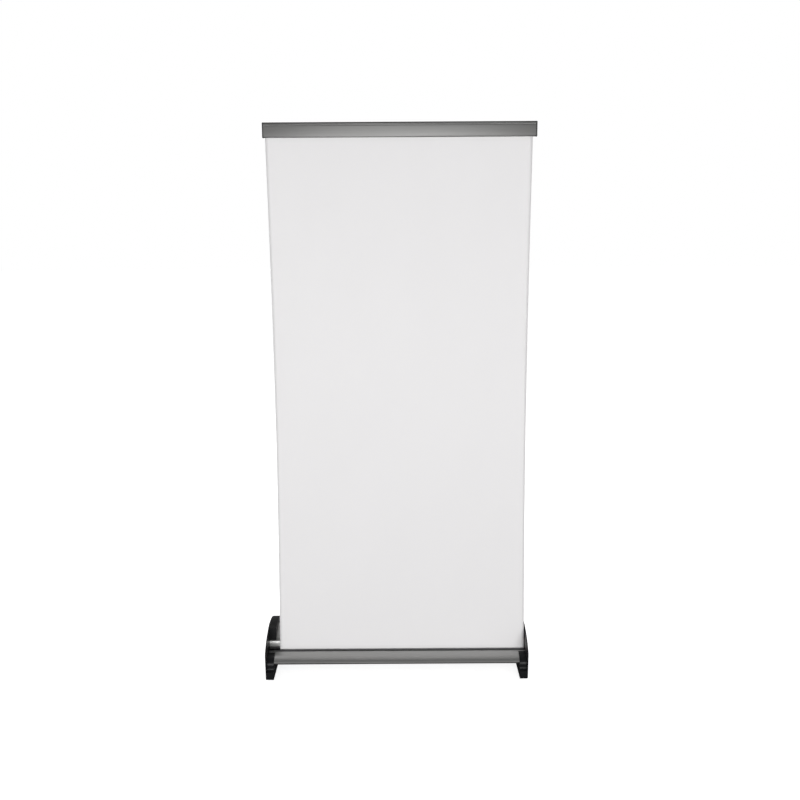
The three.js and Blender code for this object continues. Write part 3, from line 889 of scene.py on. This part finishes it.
class BANNER_OT_fittings(bpy.types.Operator):
    """Makes the foot pads and the end screws"""

    bl_idname = "banner.fittings"
    bl_label = "Base fittings"

    def execute(self, context):
        for name, side in SIDES.items():
            for spot in ("front", "rear"):
                self.pad(f"{name}_{spot}_foot_pad")
            for port in PORTS:
                self.end_screw(f"{name}_cap_screw_{port}", side, port)
        return {"FINISHED"}

    @staticmethod
    def pad(node):
        """A rubber pad with round corners and shallow grooves across its underside."""
        (x0, y0, z0), (x1, y1, z1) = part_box(node)
        corner, ease = 4 * MM, 0.4 * MM
        ribs, groove, land = 9, 1.2 * MM, 3 * MM
        outline = rounded([(x0, y0), (x1, y0), (x1, y1), (x0, y1)], corner, 5)
        mesh_data = bmesh.new()
        skin(mesh_data, [
            [(x, y, z) for x, y in offset_line(outline, inset, True)]
            for z, inset in ((z0, ease), (z0 + ease, 0), (z1 - ease, 0), (z1, ease))
        ])
        pad = finish_mesh(node + "_rubber", mesh_data, pad_rubber())
        for rib in range(1, ribs):
            y = y0 + rib * (y1 - y0) / ribs
            low = (x0 + land, y - groove / 2, z0 - groove / 2)
            high = (x1 - land, y + groove / 2, z0 + groove / 2)
            tool = finish_mesh("groove_tool", box_mesh(low, high), pad_rubber())
            boolean(pad, tool, "DIFFERENCE")
        stand_for(pad, node, "base")

    @staticmethod
    def end_screw(node, side, port):
        """A round-headed screw, drawn from its head, with a six-sided key socket."""
        low, high = span(node, 0)
        head_x, tip_x = (high, low) if side > 0 else (low, high)
        turn = Matrix.Rotation(math.pi / 2 * side, 4, "Y")
        spot = Matrix.Translation((head_x, *place(*PORTS[port]))) @ turn
        screw = key_screw(node + "_steel", spot, abs(head_x - tip_x) / MM, CAP_SCREW_HEAD)
        stand_for(screw, node, "base")


def key_screw(name, matrix, length, size):
    """A button-head screw whose head's top is at the matrix's origin, pointing along +Z."""
    head, height = size
    shank, root, pitch, key = 2.0, 1.72, 0.8, 1.6
    dome = [
        (head * math.sin(math.radians(a)), -height * 0.9 * (1 - math.cos(math.radians(a))))
        for a in (0, 15, 30, 45, 60, 75, 90)
    ]
    thread = []
    start = height + 0.5
    count = int((length - start - 1.2) / pitch)
    for i in range(count):
        z = -start - i * pitch
        thread += [(root, z), (shank, z - pitch / 2)]
    profile = dome + [
        (head, -height), (shank, -height), *thread, (1.5, -length + 0.6), (0, -length),
    ]
    screw = turned(name, profile, matrix, plated_steel(), 36)
    drill(screw, key, -height * 0.75, 1, matrix, 6)
    return screw


# ---- Pole ----

# Outer radii of the three tubes, from the bottom up.
TUBES = (("lower", "base", 14), ("middle", "pole_middle", 12), ("top", "pole_top", 10))


def tube(node, body, radius):
    """A pole tube with its two ends rolled in slightly."""
    low, high = (z / MM for z in span(node, 2))
    wall, ease = 1.2, 0.35
    inner = radius - wall
    profile = [
        (inner, low + ease), (inner + ease, low), (radius - ease, low), (radius, low + ease),
        (radius, high - ease), (radius - ease, high), (inner + ease, high), (inner, high - ease),
    ]
    spot = Matrix.Translation((middle(node, 0), middle(node, 1), 0))
    stand_for(turned(node + "_skin", profile, spot, tube_metal()), node, body)


class BANNER_OT_pole(bpy.types.Operator):
    """Makes the pole's tubes, their twist-lock collars and the socket in the base"""

    bl_idname = "banner.pole"
    bl_label = "Pole"

    def execute(self, context):
        for name, body, radius in TUBES:
            tube(f"pole_{name}_tube", body, radius)
        radii = [radius for _, _, radius in TUBES]
        self.lock_collar("lower_lock_collar", "lower_collar", *radii[:2])
        self.lock_collar("upper_lock_collar", "upper_collar", *radii[1:])
        self.socket()
        return {"FINISHED"}

    @staticmethod
    def lock_collar(node, body, outer, inner):
        """A ribbed ring that steps from the outer tube down to the inner one."""
        low, high = (z / MM for z in span(node, 2))
        radius = outer + GAP + 4.5
        step = low + 12 + GAP
        rib = 0.55
        profile = [
            (outer + GAP, low + 0.6, 0), (outer + GAP + 0.6, low, 0), (radius - 2.2, low, 0),
            (radius - 1.0, low + 0.5, 0), (radius - 0.4, low + 1.6, 0),
            (radius - 0.4, low + 4.5, 0), (radius - 1.2, low + 5.2, 0),
            (radius - 1.2, low + 6.6, 0), (radius - rib, low + 7.6, rib * 0.4),
            (radius - rib, low + 9, rib), (radius - rib, high - 9, rib),
            (radius - rib, high - 7.6, rib * 0.4), (radius - 1.6, high - 6.6, 0),
            (radius - 1.6, high - 4, 0), (radius - 2.2, high - 1.4, 0),
            (radius - 3.2, high - 0.4, 0), (radius - 4.2, high, 0),
            (inner + GAP + 0.6, high, 0), (inner + GAP, high - 0.6, 0),
            (inner + GAP, step, 0), (outer + GAP, step, 0),
        ]
        spot = Matrix.Translation((middle(node, 0), middle(node, 1), 0))
        ribs, sides = 18, 18 * 8
        piece = turned(node + "_grip", profile, spot, fitting_plastic(), sides, ribs)
        stand_for(piece, node, body)

    @staticmethod
    def socket():
        """The barrel and its screwed flange on the rear shell's slope."""
        node = "pole_socket"
        x = middle(node, 0)
        low, high = (z / MM for z in span(node, 2))
        radius, bore, thickness = SOCKET_RADIUS, SOCKET_BORE, 4
        barrel = [
            (0, low), (radius - 1, low), (radius, low + 1), (radius, high - 2.4),
            (radius - 0.7, high - 0.8), (radius - 2.2, high), (bore + 0.8, high),
            (bore, high - 0.8), (bore, low + 3), (0, low + 3),
        ]
        spot = Matrix.Translation((x, POLE_Y, 0))
        socket = turned("pole_socket_moulding", barrel, spot, fitting_plastic())
        flange = BANNER_OT_pole.flange(x, thickness)
        drill(flange, radius - 1, low + 3, high + 2, spot)
        boolean(socket, flange, "UNION")
        for name, side in SIDES.items():
            matrix = deck_matrix(x + side * DECK_SCREW_OUT * MM, thickness + GAP)
            drill(socket, SCREW_HOLE, -20, 20, matrix, 24)
            screw_node = f"socket_screw_{name}"
            head = matrix @ Matrix.Translation((0, 0, (GAP + SMALL_HEAD[1]) * MM))
            screw = key_screw(screw_node + "_steel", head, 12.6, SMALL_HEAD)
            stand_for(screw, screw_node, "base")
        stand_for(socket, node, "base")

    @staticmethod
    def flange(x, thickness):
        low, high = span("pole_socket", 0)
        half, length = (high - low) / 2 / MM, SOCKET_RADIUS + 5
        corners = [(-half, -length), (half, -length), (half, length), (-half, length)]
        outline = rounded(corners, 9, 8)
        mesh_data = bmesh.new()
        rings = []
        for z, inset in ((0.4, 0.4), (0.8, 0), (thickness - 0.8, 0), (thickness, 0.9)):
            ring = offset_line(outline, inset, True)
            rings.append([Vector((u * MM, v * MM, (z + GAP - 0.4) * MM)) for u, v in ring])
        skin(mesh_data, rings)
        mesh_data.transform(deck_matrix(x, 0))
        return finish_mesh("flange_part", mesh_data, fitting_plastic())


def deck_matrix(x, lift):
    """A frame on the rear shell's sloping top, under the pole, lifted off it in millimetres."""
    along = (POLE_Y - FILM_Y) / MM
    height = DECK_RISE + (along - SLOT_REAR) * math.tan(DECK_SLOPE)
    turn = Matrix.Rotation(DECK_SLOPE, 4, "X")
    up = Matrix.Translation((0, 0, lift * MM))
    return Matrix.Translation((x, *place(along, height))) @ turn @ up


# ---- Rail ----

RAIL_Z0, RAIL_Z1 = span("rail_end_cap_left", 2)
RAIL_LOW = (RAIL_Z0 - SLOT_Z) / MM
RAIL_TOP = (RAIL_Z1 - SLOT_Z) / MM
RAIL_FRONT = 15.5
RAIL_BACK = 12
RAIL_ROUND = 6.5
HINGE = (-RAIL_FRONT + RAIL_ROUND, RAIL_TOP - RAIL_ROUND)


class BANNER_OT_rail(bpy.types.Operator):
    """Makes the clamping rail: its back, its hinged front jaw, end caps and pole bracket"""

    bl_idname = "banner.rail"
    bl_label = "Rail"

    def execute(self, context):
        self.back()
        self.jaw()
        self.grip()
        self.caps()
        self.bracket()
        return {"FINISHED"}

    @staticmethod
    def back():
        ease = 3
        section = [
            *arc(HINGE, RAIL_ROUND, 190, 90, 14),
            *arc((RAIL_BACK - ease, RAIL_TOP - ease), ease, 90, 0, 5),
            (RAIL_BACK, RAIL_LOW + 1), (3, RAIL_LOW + 1), (3, RAIL_LOW + 12),
            (RAIL_BACK - WALL, RAIL_LOW + 12), (RAIL_BACK - WALL, RAIL_TOP - 5),
            (RAIL_BACK - WALL - 2, RAIL_TOP - WALL - 1), (HINGE[0] + 6, RAIL_TOP - WALL - 1),
            *arc(HINGE, 5.5, 20, -70, 8),
            *arc(HINGE, 2.8, -70, 190, 24),
        ]
        shape = rounded(section, 0.5, 2, 40)
        piece = prism("rail_back_channel", shape, *span("rail_back", 0), rail_metal(), (0.2, 0.2))
        stand_for(piece, "rail_back", "pole_top")

    @staticmethod
    def jaw():
        """The front plate, slightly crowned, with the bead that it swings on."""
        top = HINGE[1] - 5.6
        crown = 0.35
        height = top - RAIL_LOW - 4
        face = [
            (-RAIL_FRONT + crown * (1 - math.sin(math.pi * t)), RAIL_LOW + 4 + height * t)
            for t in (i / 12 for i in range(13))
        ]
        path = [(-1, RAIL_LOW + 5), (-1.6, RAIL_LOW + 1.5), (-4, RAIL_LOW + 0.3),
                *arc((-RAIL_FRONT + 4, RAIL_LOW + 4.3), 4, 270, 190, 6)[:-1], *face]
        shape = rounded(wall_outline(path, -WALL), 0.5, 2, 40)
        x0, x1 = span("rail_front_jaw", 0)
        jaw = prism("rail_front_jaw_plate", shape, x0, x1, rail_metal(), (0.2, 0.2))
        shelf = [(-RAIL_FRONT + 1.2, top - WALL), (HINGE[0] + 0.8, top - WALL),
                 (HINGE[0] + 0.8, HINGE[1]), (HINGE[0] - 0.8, HINGE[1]),
                 (HINGE[0] - 0.8, top), (-RAIL_FRONT + 1.2, top)]
        bead = arc(HINGE, 2.5, 0, 345, 23)
        for outline in (shelf, bead):
            part = prism("jaw_part", outline, x0, x1, rail_metal(), (0, 0))
            boolean(jaw, part, "UNION")
        stand_for(jaw, "rail_front_jaw", "rail_jaw")

    @staticmethod
    def grip():
        """A soft strip whose ridges press the film against the jaw."""
        low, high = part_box("rail_grip_strip")
        y0, y1 = ((v - FILM_Y) / MM for v in (low[1], high[1]))
        z0, z1 = ((v - SLOT_Z) / MM for v in (low[2], high[2]))
        ridges = 5
        pitch = (z1 - z0) / ridges
        teeth = []
        for i in range(ridges):
            z = z1 - i * pitch
            teeth += [(y0 + 0.6, z), (y0, z - pitch / 2)]
        outline = [(y1, z0), (y1, z1), *teeth, (y0 + 0.6, z0)]
        piece = prism("rail_grip_rubber", outline, low[0], high[0], pad_rubber(), (0, 0))
        stand_for(piece, "rail_grip_strip", "pole_top")

    @staticmethod
    def caps():
        outline = [
            *arc(HINGE, RAIL_ROUND, 180, 90, 12),
            (RAIL_BACK - 3, RAIL_TOP), (RAIL_BACK, RAIL_TOP - 3),
            (RAIL_BACK, RAIL_LOW), (-RAIL_FRONT + 3, RAIL_LOW), (-RAIL_FRONT, RAIL_LOW + 3),
        ]
        shape = rounded(outline, 1.2, 4, 30)
        tongue = [(RAIL_BACK - 5.3, RAIL_LOW + 14), (RAIL_BACK - 2.3, RAIL_LOW + 14),
                  (RAIL_BACK - 2.3, RAIL_TOP - 10), (RAIL_BACK - 5.3, RAIL_TOP - 10)]
        thickness = 3 * MM
        for name, side in SIDES.items():
            node = f"rail_end_cap_{name}"
            inner, outer = span(node, 0)[::side]
            ends = (outer - side * thickness, outer)[::side]
            edge = (0.2, 0.8)[::side]
            cap = prism(f"rail_end_{name}_cover", shape, *ends, fitting_plastic(), edge)
            reach = (inner, outer - side * MM)[::side]
            part = prism("tongue_part", tongue, *reach, fitting_plastic(), (0, 0))
            boolean(cap, part, "UNION")
            stand_for(cap, node, "pole_top")

    @staticmethod
    def bracket():
        """The plate, web and cup that hold the rail on the pole's top."""
        node = "rail_pole_bracket"
        low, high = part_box(node)
        x, z0, z1 = middle(node, 0), low[2], high[2]
        back, plate = low[1], 3 * MM
        half = (high[0] - low[0]) / 2
        bracket = block("rail_bracket_moulding", (-half, half), (0, plate), (z0, z1), x, back, 1.5)
        web = 11 * MM
        part = block("web_part", (-web, web), (1.2 * MM, POLE_Y - back), (z0, z1), x, back, 0.8)
        boolean(bracket, part, "UNION")
        radius, bore = 13.8, 10.3
        bottom, top = z0 / MM, z1 / MM
        cup = [(0, bottom), (radius - 0.8, bottom), (radius, bottom + 0.8), (radius, top - 1.6),
               (radius - 0.5, top - 0.5), (radius - 1.6, top), (0, top)]
        spot = Matrix.Translation((middle("pole_top_tube", 0), POLE_Y, 0))
        boolean(bracket, turned("cup_part", cup, spot, fitting_plastic()), "UNION")
        drill(bracket, bore, bottom - 1, span("pole_tip", 2)[1] / MM + GAP, spot)
        for name in SIDES:
            screw_node = f"bracket_screw_{name}"
            centre = (middle(screw_node, 0), span(screw_node, 1)[1], middle(screw_node, 2))
            spot = Matrix.Translation(centre) @ Matrix.Rotation(-math.pi / 2, 4, "X")
            drill(bracket, SCREW_HOLE, -14, 4, spot, 24)
            screw = key_screw(screw_node + "_steel", spot, 9.6, SMALL_HEAD)
            stand_for(screw, screw_node, "pole_top")
        stand_for(bracket, node, "pole_top")


def block(name, xs, ys, zs, x, y, rounding):
    """A box with round edges. xs and ys are counted from x and y."""
    mesh_data = box_mesh((x + xs[0], y + ys[0], zs[0]), (x + xs[1], y + ys[1], zs[1]))
    bmesh.ops.bevel(
        mesh_data, geom=mesh_data.edges[:], offset=rounding * MM, segments=3,
        profile=0.5, affect="EDGES",
    )
    return finish_mesh(name, mesh_data, fitting_plastic())


# ---- Film ----

FREE_RUN = 0.25
EDGE_BAND = 0.045
WAVE = 0.0005


def thicken(film):
    solidify = film.modifiers.new("thickness", "SOLIDIFY")
    solidify.thickness = sizes().film_thickness
    solidify.offset = 0


class BANNER_OT_film(bpy.types.Operator):
    """Makes the hanging film and the turns that stay on the roller"""

    bl_idname = "banner.film"
    bl_label = "Film"

    def execute(self, context):
        self.panel()
        self.turns()
        return {"FINISHED"}

    @staticmethod
    def panel():
        """A thin sheet, held flat in the rail and on the roller, with a faint bow and curl."""
        low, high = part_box("banner_panel")
        width, length = high[0] - low[0], high[2] - low[2]
        columns, rows = 80, 150
        settings = sizes()
        mesh_data = bmesh.new()
        grid = []
        for j in range(rows + 1):
            v = j / rows
            z = low[2] + length * v
            from_rail, from_slot = (RAIL_Z0 - z) / FREE_RUN, (z - SLOT_Z - 0.01) / FREE_RUN
            free = max(0.0, min(1.0, from_rail)) * max(0.0, min(1.0, from_slot))
            free = free * free * (3 - 2 * free)
            row = []
            for i in range(columns + 1):
                u = i / columns
                x = low[0] + width * u
                edge = max(0.0, 1 - min(u, 1 - u) * width / EDGE_BAND)
                bow = settings.film_bow * (1 - (2 * u - 1) ** 2)
                curl = settings.film_curl * edge * edge
                wave = WAVE * noise.noise(Vector((x * 3.1, 0.0, z * 0.7)))
                draw_in = settings.waist_left * (1 - u) - settings.waist_right * u
                x += draw_in * abs(2 * u - 1) * math.sin(math.pi * v)
                row.append(mesh_data.verts.new((x, FILM_Y + free * (bow - curl + wave), z)))
            grid.append(row)
        for lower, upper in zip(grid, grid[1:]):
            for i in range(columns):
                mesh_data.faces.new((lower[i], lower[i + 1], upper[i + 1], upper[i]))
        film = finish_mesh("banner_film_panel", mesh_data, banner_film(), 60)
        thicken(film)
        stand_for(film, "banner_panel", "base")
        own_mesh(film)

    @staticmethod
    def turns():
        """The last turns of film on the roller, drawn as one loose spiral."""
        low, high = span("banner_roll", 0)
        y, z = middle("roller_tube", 1), middle("roller_tube", 2)
        inner, outer, turns, steps = 18.3 * MM, 19.2 * MM, 2.0, 96
        thickness = sizes().film_thickness
        path = []
        for i in range(steps + 1):
            t = i / steps
            angle = math.pi + 2 * math.pi * turns * (t - 1)
            radius = inner + thickness + (outer - inner - 1.5 * thickness) * t
            path.append((y + radius * math.cos(angle), z - radius * math.sin(angle)))
        mesh_data = bmesh.new()
        rows = [[mesh_data.verts.new((x, *point)) for x in (low, high)] for point in path]
        for a, b in zip(rows, rows[1:]):
            mesh_data.faces.new((a[0], a[1], b[1], b[0]))
        roll = finish_mesh("banner_film_turns", mesh_data, banner_film(), 60)
        thicken(roll)
        stand_for(roll, "banner_roll", "roller")


class BANNER_OT_inner_finishes(bpy.types.Operator):
    """Gives the pieces that keep their engineering shape their finish"""

    bl_idname = "banner.inner_finishes"
    bl_label = "Inner finishes"

    def execute(self, context):
        finishes = {
            "roller_tube": roller_metal,
            "spring_spindle": plated_steel,
            "torsion_spring": spring_steel,
        }
        for name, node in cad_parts.items():
            if node.hide_render:
                continue
            finish = finishes.get(name, fitting_plastic)
            node.data.materials.clear()
            node.data.materials.append(finish())
            node.data.shade_smooth()
            node.data.set_sharp_from_angle(angle=math.radians(SHARP))
        return {"FINISHED"}


class BANNER_PT_panel(bpy.types.Panel):
    """Lists the steps that build the stand"""

    bl_label = "Banner stand"
    bl_idname = "BANNER_PT_panel"
    bl_space_type = "VIEW_3D"
    bl_region_type = "UI"
    bl_category = "Banner"

    def draw(self, context):
        layout = self.layout
        for group in (context.scene.banner_sizes, context.scene.banner_colours):
            box = layout.box()
            for name in group.__annotations__:
                box.prop(group, name)
        for operator in OPERATORS:
            layout.operator(operator.bl_idname)


OPERATORS = (
    BANNER_OT_stage,
    BANNER_OT_shells,
    BANNER_OT_end_caps,
    BANNER_OT_fittings,
    BANNER_OT_pole,
    BANNER_OT_rail,
    BANNER_OT_film,
    BANNER_OT_inner_finishes,
)
CLASSES = (BANNER_PG_sizes, BANNER_PG_colours, *OPERATORS, BANNER_PT_panel)


def register():
    for cls in CLASSES:
        bpy.utils.register_class(cls)
    bpy.types.Scene.banner_sizes = bpy.props.PointerProperty(type=BANNER_PG_sizes)
    bpy.types.Scene.banner_colours = bpy.props.PointerProperty(type=BANNER_PG_colours)


def unregister():
    del bpy.types.Scene.banner_colours
    del bpy.types.Scene.banner_sizes
    for cls in reversed(CLASSES):
        bpy.utils.unregister_class(cls)


def main():
    register()
    for operator in OPERATORS:
        group, name = operator.bl_idname.split(".")
        getattr(getattr(bpy.ops, group), name)()


if __name__ == "__main__":
    main()
